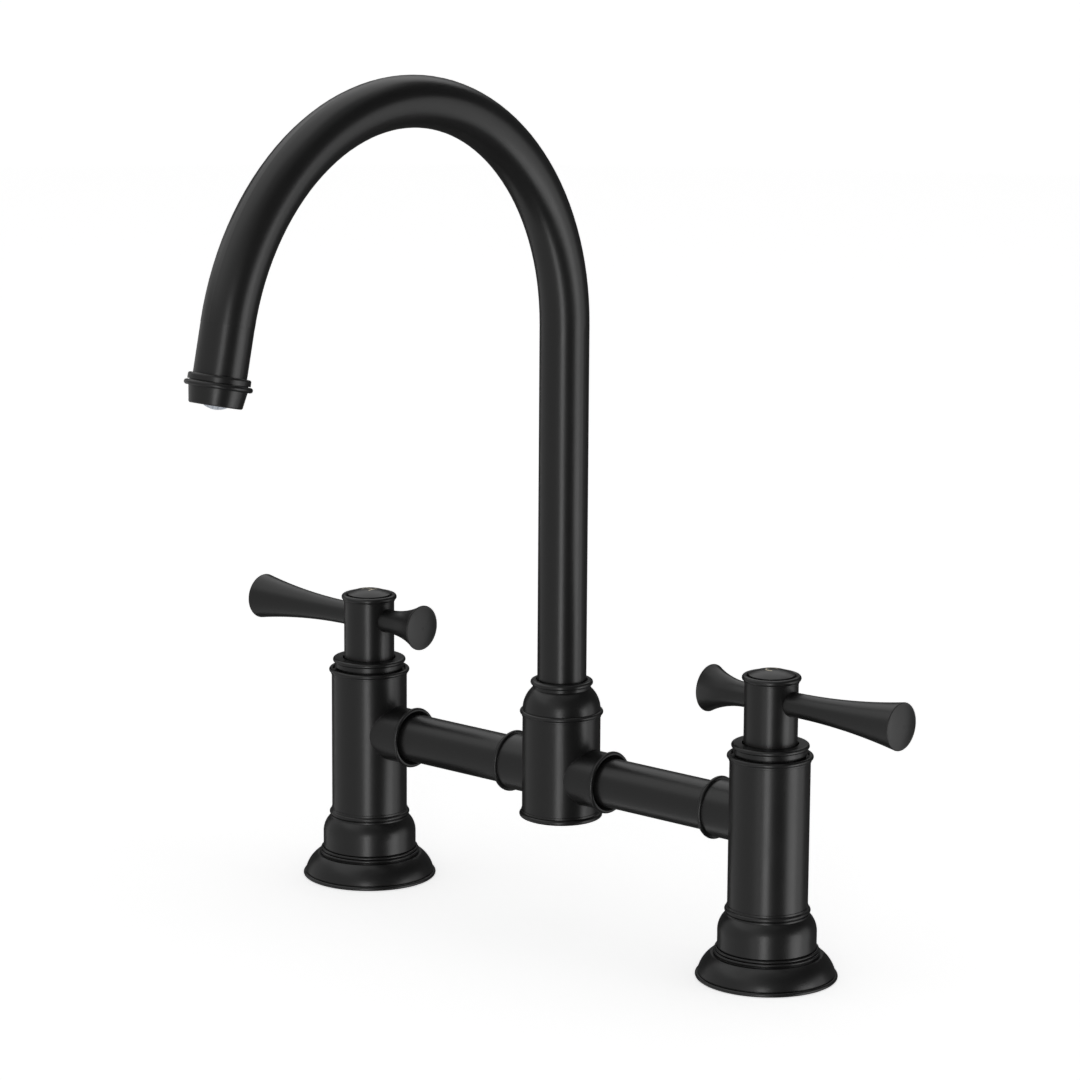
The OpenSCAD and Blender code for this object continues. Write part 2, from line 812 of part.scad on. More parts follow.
// A trumpet lever along +Z: plain root, concave flare, narrow rim and crowned end face
module lever(reach, flare_start) {
    root_r = lever_root_d / 2;
    end_r = lever_end_d / 2;
    flare_l = reach - rim_edge_r - flare_start;
    flare_rise = end_r - root_r;
    flare_r = (flare_l * flare_l + flare_rise * flare_rise) / (2 * flare_rise);
    face_r = end_r - rim_w;
    crown_r = (face_r * face_r + crown * crown) / (2 * crown);
    color(matte_black)
        rotate_extrude() {
            turned(stub_d / 2, lever_seat - stub_l, stub_l + eps);
            turned(root_r, lever_seat, flare_start - lever_seat + eps);
            difference() {
                turned(end_r, flare_start, flare_l);
                translate([root_r + flare_r, flare_start])
                    circle(flare_r, $fn = 720);
            }
            turned(end_r - rim_edge_r, reach - 2 * rim_edge_r, 2 * rim_edge_r);
            bead(end_r, reach - rim_edge_r, rim_edge_r);
            intersection() {
                translate([0, reach + crown - crown_r])
                    circle(crown_r, $fn = 288);
                turned(face_r, reach - eps, crown + 2 * eps);
            }
        }
}

// The long lever points away from the centre
module long_lever() {
    translate([0, 0, lever_axis_z])
        rotate([0, -90, 0])
            lever(long_lever_reach, long_flare_start);
}

// The short lever points towards the centre
module short_lever() {
    translate([0, 0, lever_axis_z])
        rotate([0, 90, 0])
            lever(short_lever_reach, short_flare_start);
}

// A dome with a thin lip on a plug that stands on the recess's floor
module index_cap() {
    cap_r = index_cap_d / 2;
    dome_z = hub_top + dome_rise - dome_r;
    lip_z = dome_z + sqrt(dome_r * dome_r - cap_r * cap_r) - cap_lip_h;
    color(matte_black)
        rotate_extrude() {
            intersection() {
                translate([0, dome_z])
                    circle(dome_r, $fn = 288);
                turned(cap_r, lip_z, dome_r);
            }
            turned(cap_r - undercut, recess_z, lip_z - recess_z + eps);
            turned(screw_head_d / 2 - head_gap, recess_z - cap_peg_l, cap_peg_l + eps);
        }
}

// Centre body and bottom cap

module body_section() {
    top_bead_z = body_top - bead_r;
    turned(column_r, body_bottom, body_above + body_below);
    turned(column_r + step_proud, body_bottom, step_h);
    turned(column_r + step_proud, top_bead_z - bead_r - step_h, bead_r + step_h);
    bead(column_r + bead_proud, top_bead_z, bead_r);
    turned(nut_thread_d / 2, body_top - eps, neck_top - body_top + eps);
}

module centre_body() {
    plug_r = cap_plug_d / 2;
    plug_end_z = body_bottom + cap_plug_h;
    color(matte_black)
        difference() {
            union() {
                rotate_extrude()
                    body_section();
                branch();
                rotate([0, 0, 180])
                    branch();
            }
            translate([0, 0, body_bottom - eps])
                cylinder(h = cap_plug_h + run_out, r = plug_r + screw_gap);
            translate([0, 0, body_bottom - eps])
                cylinder(h = cap_ring_h + eps, r = plug_r + cap_ring_h);
            translate([0, 0, plug_end_z])
                cylinder(h = stem_foot_z - run_out - plug_end_z, r = body_chamber_r);
            translate([0, 0, plug_end_z])
                cylinder(h = body_above + body_below, r = stem_r + running_gap);
            translate([0, 0, bearing_floor_z])
                cylinder(h = body_above, r = nut_thread_d / 2 - nut_neck_wall);
            branch_bore();
            rotate([0, 0, 180])
                branch_bore();
        }
}

module bottom_cap() {
    rim_bead_r = cap_rim_h / 2 - bead_inset;
    crest_r = column_r + bead_proud;
    color(matte_black)
        difference() {
            rotate_extrude() {
                turned(crest_r - rim_bead_r, body_bottom - cap_rim_h, cap_rim_h);
                bead(crest_r, body_bottom - cap_rim_h / 2, rim_bead_r);
                turned(cap_plug_d / 2, body_bottom - eps, cap_plug_h + eps);
            }
            translate([0, 0, body_bottom - cap_rim_h - eps])
                hexagon(cap_hex, cap_rim_h + run_out);
        }
}

module bottom_cap_o_ring() {
    color(rubber)
        o_ring(cap_plug_d / 2, cap_plug_d / 2 + cap_ring_h - ring_gap,
               body_bottom + cap_ring_h / 2);
}

// Bridge tubes and their rubber rings

// One tube from the socket of the centre body to that of a pillar, along +X
module bridge_tube() {
    tube_r = bridge_tube_d / 2;
    length = inlet_centres / 2 - 2 * tube_end;
    color(matte_black)
        translate([tube_end, 0, bridge_z])
            rotate([0, 90, 0])
                difference() {
                    cylinder(h = length, r = tube_r);
                    translate([0, 0, -eps])
                        cylinder(h = length + 2 * eps, r = tube_r - bridge_tube_wall);
                    for (z = [bridge_ring_inset, length - bridge_ring_inset])
                        ring(tube_r - bridge_groove_depth, tube_r + 1,
                             z - bridge_groove_w / 2, bridge_groove_w);
                }
}

module left_bridge_tube() {
    rotate([0, 0, 180])
        bridge_tube();
}

module right_bridge_tube() {
    bridge_tube();
}

module bridge_o_rings() {
    near = tube_end + bridge_ring_inset;
    far = inlet_centres / 2 - near;
    color(rubber)
        for (x = [-far, -near, near, far])
            translate([x, 0, bridge_z])
                rotate([0, 90, 0])
                    o_ring(bridge_tube_d / 2 - bridge_groove_depth, socket_bore_r - ring_gap, 0);
}

// Swivel: nut, bearing rings, stem and its rubber rings

module swivel_nut() {
    dome_x = column_r - nut_dome_r;
    crest_r = nut_bead_d / 2;
    bead_z = nut_top - nut_bead_r - bead_inset;
    color(matte_black)
        rotate_extrude()
            difference() {
                union() {
                    intersection() {
                        translate([dome_x, body_top])
                            circle(nut_dome_r, $fn = round_fn);
                        turned(column_r, body_top, bead_z - body_top);
                    }
                    turned(crest_r - nut_bead_r + step_proud, bead_z - nut_bead_r - fillet_h,
                           nut_bead_r + fillet_h);
                    turned(crest_r - nut_bead_r, body_top, nut_h);
                    bead(crest_r, bead_z, nut_bead_r);
                }
                turned(spout_r + running_gap, body_top - eps, nut_h + 2 * eps);
                turned(spout_r + cover_gap, nut_top - nut_recess, nut_recess + eps);
                turned(nut_thread_d / 2 + screw_gap, body_top - eps, neck_top - body_top + end_gap);
                turned(bearing_d / 2 + screw_gap, body_top - eps,
                       nut_shoulder_z - body_top + eps);
            }
}

module lower_bearing_ring() {
    color(acetal)
        ring(stem_r + loose_gap, bearing_d / 2, bearing_floor_z, bearing_h);
}

module upper_bearing_ring() {
    color(acetal)
        ring(spout_r + running_gap, bearing_d / 2, upper_bearing_z, bearing_h);
}

module spout_stem() {
    stem_top = tube_foot_z + stem_plug_l;
    color(brass)
        difference() {
            union() {
                translate([0, 0, stem_foot_z])
                    cylinder(h = stem_l + eps, r = stem_r);
                translate([0, 0, stem_flange_z])
                    cylinder(h = stem_flange_h, d = stem_flange_d);
                translate([0, 0, tube_foot_z - eps])
                    cylinder(h = stem_plug_l + eps, r = spout_r - spout_wall - screw_gap);
            }
            translate([0, 0, stem_foot_z - eps])
                cylinder(h = stem_top - stem_foot_z + 2 * eps, d = stem_bore_d);
            for (z = stem_ring_z)
                ring(stem_r - stem_groove_depth, stem_r + 1, z - stem_groove_w / 2,
                     stem_groove_w);
        }
}

module stem_o_rings() {
    color(rubber)
        for (z = stem_ring_z)
            o_ring(stem_r - stem_groove_depth, stem_r + running_gap - ring_gap, z);
}

// Gooseneck: riser, bend towards -Y and straight end

// Frame at the end of the bend, with +Z along the flow
module at_bend_end() {
    translate([0, -bend_r, bend_z])
        rotate([bend_angle, 0, 0])
            translate([0, bend_r, 0])
                children();
}

// A bar of radius r along the spout's axis, longer by extra at both ends. Its straight end is
// thinner by end_skim and laps into the bend, so that the two join as one solid.
module along_spout(r, extra) {
    translate([0, 0, tube_foot_z - extra])
        cylinder(h = bend_z - tube_foot_z + extra, r = r);
    translate([0, -bend_r, bend_z])
        rotate([90, 0, 90])
            rotate_extrude(angle = bend_angle, $fn = 240)
                translate([bend_r, 0])
                    circle(r);
    at_bend_end()
        translate([0, 0, -end_lap])
            cylinder(h = end_lap + spout_end_l + nozzle_socket_l + extra, r = r - end_skim);
}

module spout_tube() {
    color(matte_black)
        difference() {
            along_spout(spout_r, 0);
            along_spout(spout_r - spout_wall, 1);
        }
}

// Nozzle and aerator, along the flow from the foot of the nozzle

module at_nozzle() {
    at_bend_end()
        translate([0, 0, spout_end_l])
            children();
}

module nozzle() {
    band_r = nozzle_band_d / 2;
    band_edge_r = 0.9;
    band_groove = 0.4;
    bead_z = nozzle_band_h + nozzle_bead_r - bead_inset;
    end_r = nozzle_end_d / 2;
    round_z = nozzle_l - nozzle_end_r;
    color(matte_black)
        at_nozzle()
            rotate_extrude()
                difference() {
                    union() {
                        turned(band_r, band_edge_r, nozzle_band_h - band_groove - band_edge_r);
                        turned(band_r - band_edge_r, 0, nozzle_band_h);
                        bead(band_r, band_edge_r, band_edge_r);
                        bead(nozzle_bead_d / 2, bead_z, nozzle_bead_r);
                        turned(nozzle_cone_d / 2, nozzle_band_h, bead_z - nozzle_band_h);
                        polygon([[0, bead_z], [nozzle_cone_d / 2, bead_z], [end_r, round_z],
                                 [0, round_z]]);
                        turned(end_r - nozzle_end_r, round_z, nozzle_end_r);
                        bead(end_r, round_z, nozzle_end_r);
                    }
                    turned(spout_r + screw_gap, -eps, nozzle_socket_l + eps);
                    turned(aerator_d / 2 - aerator_lip_w, 0, nozzle_l + eps);
                    turned(aerator_d / 2 + screw_gap, washer_z, nozzle_l);
                }
}

module aerator_washer() {
    color(rubber)
        at_nozzle()
            ring(aerator_d / 2 - washer_w, aerator_d / 2 - loose_gap, washer_z, washer_h);
}

module aerator_screen() {
    color(steel)
        at_nozzle()
            translate([0, 0, housing_z])
                difference() {
                    cylinder(h = screen_h, r = insert_d / 2 - loose_gap);
                    for (i = [0 : screen_holes - 1])
                        rotate([0, 0, i * 360 / screen_holes])
                            translate([insert_d / 4, 0, -eps])
                                cylinder(h = screen_h + 2 * eps, r = screen_hole_r);
                }
}

module aerator_housing() {
    color(frosted)
        at_nozzle()
            ring(insert_d / 2, aerator_d / 2, housing_z, dome_foot_z - housing_z);
}

// The insert's domed face has slots like a star, and stands a little out of the nozzle
module aerator_insert() {
    r = insert_d / 2 - screw_gap;
    rise = insert_proud + nozzle_l - dome_foot_z;
    face_r = (r * r + rise * rise) / (2 * rise);
    foot_z = housing_z + screen_h;
    slot_start = r - insert_rim_w - insert_slot_l;
    color(frosted)
        at_nozzle()
            difference() {
                rotate_extrude() {
                    turned(r, foot_z, dome_foot_z - foot_z);
                    intersection() {
                        translate([0, dome_foot_z + rise - face_r])
                            circle(face_r, $fn = round_fn);
                        turned(r, dome_foot_z - eps, rise + 2 * eps);
                    }
                }
                for (i = [0 : insert_slots - 1])
                    rotate([0, 0, i * 360 / insert_slots])
                        translate([slot_start, -insert_slot_w / 2, foot_z - eps])
                            cube([insert_slot_l, insert_slot_w, nozzle_l]);
            }
}

// Assembly

at_pillar(hot) base_flange();  // hot_base_flange
at_pillar(hot) base_gasket();  // hot_base_gasket
at_pillar(hot) bell();  // hot_bell
at_pillar(hot) pillar();  // hot_pillar
at_pillar(hot) collar();  // hot_collar
at_pillar(hot) cartridge();  // hot_cartridge
at_pillar(hot) cartridge_o_ring();  // hot_cartridge_o_ring
at_pillar(hot) valve_seal();  // hot_valve_seal
at_pillar(hot) fixed_disc();  // hot_fixed_disc
at_pillar(hot) moving_disc();  // hot_moving_disc
at_pillar(hot) spindle();  // hot_spindle
at_pillar(hot) spindle_o_ring();  // hot_spindle_o_ring
at_pillar(hot) hub();  // hot_hub
at_pillar(hot) long_lever();  // hot_long_lever
at_pillar(hot) short_lever();  // hot_short_lever
at_pillar(hot) handle_screw();  // hot_handle_screw
at_pillar(hot) index_cap();  // hot_index_cap
at_pillar(cold) base_flange();  // cold_base_flange
at_pillar(cold) base_gasket();  // cold_base_gasket
at_pillar(cold) bell();  // cold_bell
at_pillar(cold) pillar();  // cold_pillar
at_pillar(cold) collar();  // cold_collar
at_pillar(cold) cartridge();  // cold_cartridge
at_pillar(cold) cartridge_o_ring();  // cold_cartridge_o_ring
at_pillar(cold) valve_seal();  // cold_valve_seal
at_pillar(cold) fixed_disc();  // cold_fixed_disc
at_pillar(cold) moving_disc();  // cold_moving_disc
at_pillar(cold) spindle();  // cold_spindle
at_pillar(cold) spindle_o_ring();  // cold_spindle_o_ring
at_pillar(cold) hub();  // cold_hub
at_pillar(cold) long_lever();  // cold_long_lever
at_pillar(cold) short_lever();  // cold_short_lever
at_pillar(cold) handle_screw();  // cold_handle_screw
at_pillar(cold) index_cap();  // cold_index_cap
centre_body();
bottom_cap();
bottom_cap_o_ring();
left_bridge_tube();
right_bridge_tube();
bridge_o_rings();
swivel_nut();
lower_bearing_ring();
upper_bearing_ring();
spout_stem();
stem_o_rings();
spout_tube();
nozzle();
aerator_washer();
aerator_screen();
aerator_housing();
aerator_insert();
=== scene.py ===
import math

import bmesh
import bpy
from mathutils import Matrix, Vector


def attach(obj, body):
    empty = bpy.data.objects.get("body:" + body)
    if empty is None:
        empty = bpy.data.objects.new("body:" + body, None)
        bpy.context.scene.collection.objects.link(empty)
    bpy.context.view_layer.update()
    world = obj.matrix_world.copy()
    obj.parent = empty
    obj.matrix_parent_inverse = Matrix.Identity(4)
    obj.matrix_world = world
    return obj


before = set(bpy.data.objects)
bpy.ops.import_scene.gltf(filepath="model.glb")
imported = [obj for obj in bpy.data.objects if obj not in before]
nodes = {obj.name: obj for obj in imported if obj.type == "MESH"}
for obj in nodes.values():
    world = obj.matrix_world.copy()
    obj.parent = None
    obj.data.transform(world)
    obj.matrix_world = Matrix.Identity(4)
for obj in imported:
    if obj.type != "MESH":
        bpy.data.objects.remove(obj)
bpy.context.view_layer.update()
scene = bpy.context.scene

MM = 0.001
PILLAR_X = 117.5 * MM  # from the spout's axis to each pillar's


def linear(hex_colour):
    """Turns an sRGB hex colour into the linear RGBA that Blender works in."""
    parts = [int(hex_colour[i:i + 2], 16) / 255 for i in (1, 3, 5)]
    return [p / 12.92 if p <= 0.04045 else ((p + 0.055) / 1.055) ** 2.4 for p in parts] + [1.0]


def add(tree, kind, links=(), **settings):
    """Adds one node; links maps a socket to a value or to another node's output."""
    made = tree.nodes.new(kind)
    for name, value in settings.items():
        setattr(made, name, value)
    for socket, value in dict(links).items():
        if isinstance(value, bpy.types.NodeSocket):
            tree.links.new(value, made.inputs[socket])
        else:
            made.inputs[socket].default_value = value
    return made


def finish_named(name, **surface):
    """A new material with its shader; surface gives the shader's own sockets."""
    material = bpy.data.materials.new(name)
    material.use_nodes = True
    tree = material.node_tree
    shader = tree.nodes["Principled BSDF"]
    for socket, value in surface.items():
        shader.inputs[socket.replace("_", " ")].default_value = value
    return material, tree, shader


def set_down(name, data):
    """Puts a camera, lamp or mesh into the scene as an object of that name."""
    thing = bpy.data.objects.new(name, data)
    scene.collection.objects.link(thing)
    return thing


# Camera: the photographer's place, a little above and to the right of the user

camera = set_down("camera", bpy.data.cameras.new("camera"))
camera.data.sensor_width = 36
camera.data.lens = 136.2
camera.matrix_world = (
    Matrix.Translation(Vector((1145.7, -1353.3, 549.4)) * MM)
    @ Matrix.Rotation(math.radians(40.579), 4, "Z")
    @ Matrix.Rotation(math.radians(90 - 11.879), 4, "X")
    @ Matrix.Rotation(math.radians(0.376), 4, "Z")
)
scene.camera = camera

# Materials

# Matte black coat: a sprayed and baked satin lacquer over brass. It gives a deep black with
# soft wide highlights, a hardly visible grain and edges that the coat has rounded.
LACQUER_GRAIN = 0.45 * MM  # near 0.1 mm on the real coat, coarser here so that it shows
LACQUER_CLOUD = 14 * MM
COATED_EDGE = 0.22 * MM
black_coat, tree, shader = finish_named(
    "matte_black_coat", Base_Color=linear("#131313"), Roughness=0.32, IOR=1.5
)
place = add(tree, "ShaderNodeTexCoord").outputs["Object"]
grain = add(tree, "ShaderNodeTexNoise", {
    "Vector": place, "Scale": 1 / LACQUER_GRAIN, "Detail": 2,
})
cloud = add(tree, "ShaderNodeTexNoise", {
    "Vector": place, "Scale": 1 / LACQUER_CLOUD, "Detail": 3,
})
rough = add(tree, "ShaderNodeMapRange", {
    "Value": cloud.outputs["Fac"], "From Min": 0.3, "From Max": 0.7,
    "To Min": 0.305, "To Max": 0.335,
})
edge = add(tree, "ShaderNodeBevel", {"Radius": COATED_EDGE}, samples=6)
bump = add(tree, "ShaderNodeBump", {
    "Height": grain.outputs["Fac"], "Strength": 0.06, "Distance": 0.05 * MM,
    "Normal": edge.outputs["Normal"],
})
tree.links.new(rough.outputs["Result"], shader.inputs["Roughness"])
tree.links.new(bump.outputs["Normal"], shader.inputs["Normal"])

# Turned brass: cut on a lathe, so fine feed marks run round its axis and catch a warm metal shine
FEED_MARKS = 0.5 * MM  # near 0.15 mm apart on the real piece, coarser here so that they show
turned_brass, tree, shader = finish_named(
    "turned_brass", Base_Color=linear("#c8a35a"), Metallic=1.0, Roughness=0.3
)
place = add(tree, "ShaderNodeTexCoord").outputs["Object"]
spread = add(tree, "ShaderNodeSeparateXYZ", {0: place})
# Distance from the nearest of the three turning axes: the two pillars' and the spout's
side = add(tree, "ShaderNodeMath", {0: spread.outputs["X"]}, operation="ABSOLUTE")
past_pillar = add(tree, "ShaderNodeMath", {
    0: side.outputs[0], 1: PILLAR_X,
}, operation="SUBTRACT")
from_pillar = add(tree, "ShaderNodeMath", {0: past_pillar.outputs[0]}, operation="ABSOLUTE")
nearest = add(tree, "ShaderNodeMath", {
    0: side.outputs[0], 1: from_pillar.outputs[0],
}, operation="MINIMUM")
flat = add(tree, "ShaderNodeCombineXYZ", {"X": nearest.outputs[0], "Y": spread.outputs["Y"]})
radius = add(tree, "ShaderNodeVectorMath", {0: flat.outputs[0]}, operation="LENGTH")
along = add(tree, "ShaderNodeMath", {
    0: radius.outputs["Value"], 1: spread.outputs["Z"],
}, operation="ADD")
marks = add(tree, "ShaderNodeMath", {
    0: along.outputs[0], 1: 2 * math.pi / FEED_MARKS,
}, operation="MULTIPLY")
ridge = add(tree, "ShaderNodeMath", {0: marks.outputs[0]}, operation="SINE")
tarnish = add(tree, "ShaderNodeTexNoise", {"Vector": place, "Scale": 1 / (5 * MM), "Detail": 3})
tone = add(tree, "ShaderNodeMix", {
    0: tarnish.outputs["Fac"], 6: linear("#b98f48"), 7: linear("#d6b26a"),
}, data_type="RGBA")
bump = add(tree, "ShaderNodeBump", {
    "Height": ridge.outputs[0], "Strength": 0.25, "Distance": 0.02 * MM,
})
tree.links.new(tone.outputs[2], shader.inputs["Base Color"])
tree.links.new(bump.outputs["Normal"], shader.inputs["Normal"])

# Tapped brass: the half-inch pipe thread in each inlet, 14 to the inch, cut after coating and
# so left bare; its colour is painted lighter on the crests and darker in the roots, a painted
# highlight and painted shade on the turns
THREAD_PITCH = 1.814 * MM
THREAD_DEPTH = 1.1 * MM
tapped_brass, tree, shader = finish_named(
    "tapped_brass", Base_Color=linear("#c39c52"), Metallic=1.0, Roughness=0.34
)
place = add(tree, "ShaderNodeTexCoord").outputs["Object"]
spread = add(tree, "ShaderNodeSeparateXYZ", {0: place})
side = add(tree, "ShaderNodeMath", {0: spread.outputs["X"]}, operation="SIGN")
from_axis = add(tree, "ShaderNodeMath", {
    0: side.outputs[0], 1: -PILLAR_X, 2: spread.outputs["X"],
}, operation="MULTIPLY_ADD")
around = add(tree, "ShaderNodeMath", {
    0: spread.outputs["Y"], 1: from_axis.outputs[0],
}, operation="ARCTAN2")
turn = add(tree, "ShaderNodeMath", {
    0: around.outputs[0], 1: 1 / (2 * math.pi),
}, operation="MULTIPLY")
climb = add(tree, "ShaderNodeMath", {
    0: spread.outputs["Z"], 1: 1 / THREAD_PITCH, 2: turn.outputs[0],
}, operation="MULTIPLY_ADD")
flanks = add(tree, "ShaderNodeMath", {0: climb.outputs[0], 1: 0.5}, operation="PINGPONG")
bump = add(tree, "ShaderNodeBump", {
    "Height": flanks.outputs[0], "Strength": 1.0, "Distance": 2 * THREAD_DEPTH,
})
# Painted highlight and painted shade: the base colour goes from dark in the thread's roots to
# light on its crests
shade = add(tree, "ShaderNodeMix", {
    0: flanks.outputs[0], 6: linear("#7d6132"), 7: linear("#d8b467"),
}, data_type="RGBA")
tree.links.new(shade.outputs[2], shader.inputs["Base Color"])
tree.links.new(bump.outputs["Normal"], shader.inputs["Normal"])

# Moulded rubber: dull black sealing rubber, with a dusty bloom in soft patches
moulded_rubber, tree, shader = finish_named(
    "moulded_rubber", Base_Color=linear("#1b1b1a"), Roughness=0.72, IOR=1.52
)
place = add(tree, "ShaderNodeTexCoord").outputs["Object"]
bloom = add(tree, "ShaderNodeTexNoise", {"Vector": place, "Scale": 1 / (3 * MM), "Detail": 4})
grit = add(tree, "ShaderNodeTexNoise", {"Vector": place, "Scale": 1 / (0.5 * MM), "Detail": 2})
tone = add(tree, "ShaderNodeMix", {
    0: bloom.outputs["Fac"], 6: linear("#131312"), 7: linear("#2a2927"),
}, data_type="RGBA")
rough = add(tree, "ShaderNodeMapRange", {
    "Value": bloom.outputs["Fac"], "To Min": 0.6, "To Max": 0.84,
})
bump = add(tree, "ShaderNodeBump", {
    "Height": grit.outputs["Fac"], "Strength": 0.3, "Distance": 0.05 * MM,
})
tree.links.new(tone.outputs[2], shader.inputs["Base Color"])
tree.links.new(rough.outputs[0], shader.inputs["Roughness"])
tree.links.new(bump.outputs["Normal"], shader.inputs["Normal"])

# Ground ceramic: white alumina valve discs, lapped flat to a dense faint speckle
ground_ceramic, tree, shader = finish_named(
    "ground_ceramic", Base_Color=linear("#ece8df"), Roughness=0.28, IOR=1.76
)
place = add(tree, "ShaderNodeTexCoord").outputs["Object"]
speckle = add(tree, "ShaderNodeTexNoise", {
    "Vector": place, "Scale": 1 / (0.6 * MM), "Detail": 3,
})
tone = add(tree, "ShaderNodeMix", {
    0: speckle.outputs["Fac"], 6: linear("#e2ddd2"), 7: linear("#f3f0e8"),
}, data_type="RGBA")
rough = add(tree, "ShaderNodeMapRange", {
    "Value": speckle.outputs["Fac"], "To Min": 0.2, "To Max": 0.36,
})
tree.links.new(tone.outputs[2], shader.inputs["Base Color"])
tree.links.new(rough.outputs[0], shader.inputs["Roughness"])

# Machined acetal: slippery off-white plastic with faint tool rings
TOOL_RINGS = 62.5  # the wave's scale, which draws the rings 5 mm apart, wider than real ones
machined_acetal, tree, shader = finish_named(
    "machined_acetal", Base_Color=linear("#e4e2da"), Roughness=0.42, IOR=1.48
)
place = add(tree, "ShaderNodeTexCoord").outputs["Object"]
milky = add(tree, "ShaderNodeTexNoise", {"Vector": place, "Scale": 1 / (2 * MM), "Detail": 2})
rings = add(tree, "ShaderNodeTexWave", {
    "Vector": place, "Scale": TOOL_RINGS, "Distortion": 0.5,
}, wave_type="RINGS", rings_direction="Z")
tone = add(tree, "ShaderNodeMix", {
    0: milky.outputs["Fac"], 6: linear("#dcd9cf"), 7: linear("#eceae4"),
}, data_type="RGBA")
bump = add(tree, "ShaderNodeBump", {
    "Height": rings.outputs["Fac"], "Strength": 0.2, "Distance": 0.02 * MM,
})
tree.links.new(tone.outputs[2], shader.inputs["Base Color"])
tree.links.new(bump.outputs["Normal"], shader.inputs["Normal"])

# Drawn steel: stainless screen and screws, with streaks left by the die
STREAK_WIDTH = 0.4 * MM
STREAK_STRETCH = (1, 1, 0.05)  # a streak is twenty times as long as wide
drawn_steel, tree, shader = finish_named(
    "drawn_steel", Base_Color=linear("#b7b8ba"), Metallic=1.0, Roughness=0.32
)
place = add(tree, "ShaderNodeTexCoord").outputs["Object"]
drawn = add(tree, "ShaderNodeVectorMath", {0: place, 1: STREAK_STRETCH}, operation="MULTIPLY")
streaks = add(tree, "ShaderNodeTexNoise", {
    "Vector": drawn.outputs[0], "Scale": 1 / STREAK_WIDTH, "Detail": 2,
})
rough = add(tree, "ShaderNodeMapRange", {
    "Value": streaks.outputs["Fac"], "To Min": 0.24, "To Max": 0.42,
})
tone = add(tree, "ShaderNodeMix", {
    0: streaks.outputs["Fac"], 6: linear("#a9abae"), 7: linear("#c6c7c9"),
}, data_type="RGBA")
tree.links.new(rough.outputs[0], shader.inputs["Roughness"])
tree.links.new(tone.outputs[2], shader.inputs["Base Color"])

# Frosted plastic: the pale moulded aerator insert; the matt skin scatters the light that comes
# through it, so it looks lit from inside
frosted_plastic, tree, shader = finish_named(
    "frosted_plastic", Base_Color=linear("#dfe5ee"), Roughness=0.45, IOR=1.49,
    Transmission_Weight=0.3
)
place = add(tree, "ShaderNodeTexCoord").outputs["Object"]
frost = add(tree, "ShaderNodeTexNoise", {"Vector": place, "Scale": 1 / (0.5 * MM), "Detail": 3})
tone = add(tree, "ShaderNodeMix", {
    0: frost.outputs["Fac"], 6: linear("#d6dde8"), 7: linear("#ebeff5"),
}, data_type="RGBA")
bump = add(tree, "ShaderNodeBump", {
    "Height": frost.outputs["Fac"], "Strength": 0.2, "Distance": 0.03 * MM,
})
tree.links.new(tone.outputs[2], shader.inputs["Base Color"])
tree.links.new(bump.outputs["Normal"], shader.inputs["Normal"])

# Champagne print: the letters on the index caps, a thin pale metallic ink on the black coat
champagne_print, tree, shader = finish_named(
    "champagne_print", Base_Color=linear("#dcd3bd"), Metallic=0.6, Roughness=0.38
)
place = add(tree, "ShaderNodeTexCoord").outputs["Object"]
flake = add(tree, "ShaderNodeTexNoise", {"Vector": place, "Scale": 1 / (0.3 * MM), "Detail": 1})
tone = add(tree, "ShaderNodeMix", {
    0: flake.outputs["Fac"], 6: linear("#cdc3aa"), 7: linear("#ebe4d2"),
}, data_type="RGBA")
tree.links.new(tone.outputs[2], shader.inputs["Base Color"])

coats = {
    "matte_black": black_coat,
    "brass": turned_brass,
    "rubber": moulded_rubber,
    "ceramic": ground_ceramic,
    "acetal": machined_acetal,
    "steel": drawn_steel,
    "frosted_plastic": frosted_plastic,
}
for node in nodes.values():
    for slot in node.material_slots:
        slot.material = coats[slot.material.name.split(".")[0]]

# The inlet's thread and the shank's end are bare brass
INLET_R, INLET_TOP, SHANK_END = 9.3 * MM, 18 * MM, 2 * MM
SLACK = 0.05 * MM
for side, name in ((-1, "hot_pillar"), (1, "cold_pillar")):
    mesh = nodes[name].data
    mesh.materials.append(tapped_brass)
    for face in mesh.polygons:
        across = math.hypot(face.center.x - side * PILLAR_X, face.center.y)
        in_thread = across < INLET_R + SLACK and face.center.z < INLET_TOP
        if in_thread or face.center.z < SHANK_END + SLACK:
            face.material_index = len(mesh.materials) - 1

# Letters on the index caps, upright for a user who stands in front of the tap

DOME_R, DOME_Z = 23.5 * MM, 113.4 * MM  # the caps' dome and the height of its centre
PRINT_WIDTH, PRINT_LIFT, PRINT_SINK = 0.6 * MM, 0.05 * MM, 0.1 * MM


def printed_letter(name, side, body, strokes):
    """Thin printed strokes that follow the dome of an index cap; each is a line of points."""
    shape = bmesh.new()
    for stroke in strokes:
        rows = []
        for i, (x, y) in enumerate(stroke):
            before, after = stroke[max(i - 1, 0)], stroke[min(i + 1, len(stroke) - 1)]
            run = Vector((after[0] - before[0], after[1] - before[1])).normalized()
            row = []
            for edge, lift in (
                (0.5, PRINT_LIFT), (-0.5, PRINT_LIFT), (-0.5, -PRINT_SINK), (0.5, -PRINT_SINK)
            ):
                px, py = x - run.y * edge * PRINT_WIDTH, y + run.x * edge * PRINT_WIDTH
                pz = DOME_Z + math.sqrt(DOME_R ** 2 - px ** 2 - py ** 2) + lift
                row.append(shape.verts.new((px + side * PILLAR_X, py, pz)))
            rows.append(row)
        for one, two in zip(rows, rows[1:]):
            for k in range(4):
                shape.faces.new((one[k], two[k], two[(k + 1) % 4], one[(k + 1) % 4]))
        shape.faces.new(rows[0])
        shape.faces.new(list(reversed(rows[-1])))
    bmesh.ops.recalc_face_normals(shape, faces=shape.faces)
    mesh = bpy.data.meshes.new(name)
    shape.to_mesh(mesh)
    shape.free()
    mesh.materials.append(champagne_print)
    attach(set_down(name, mesh), body)


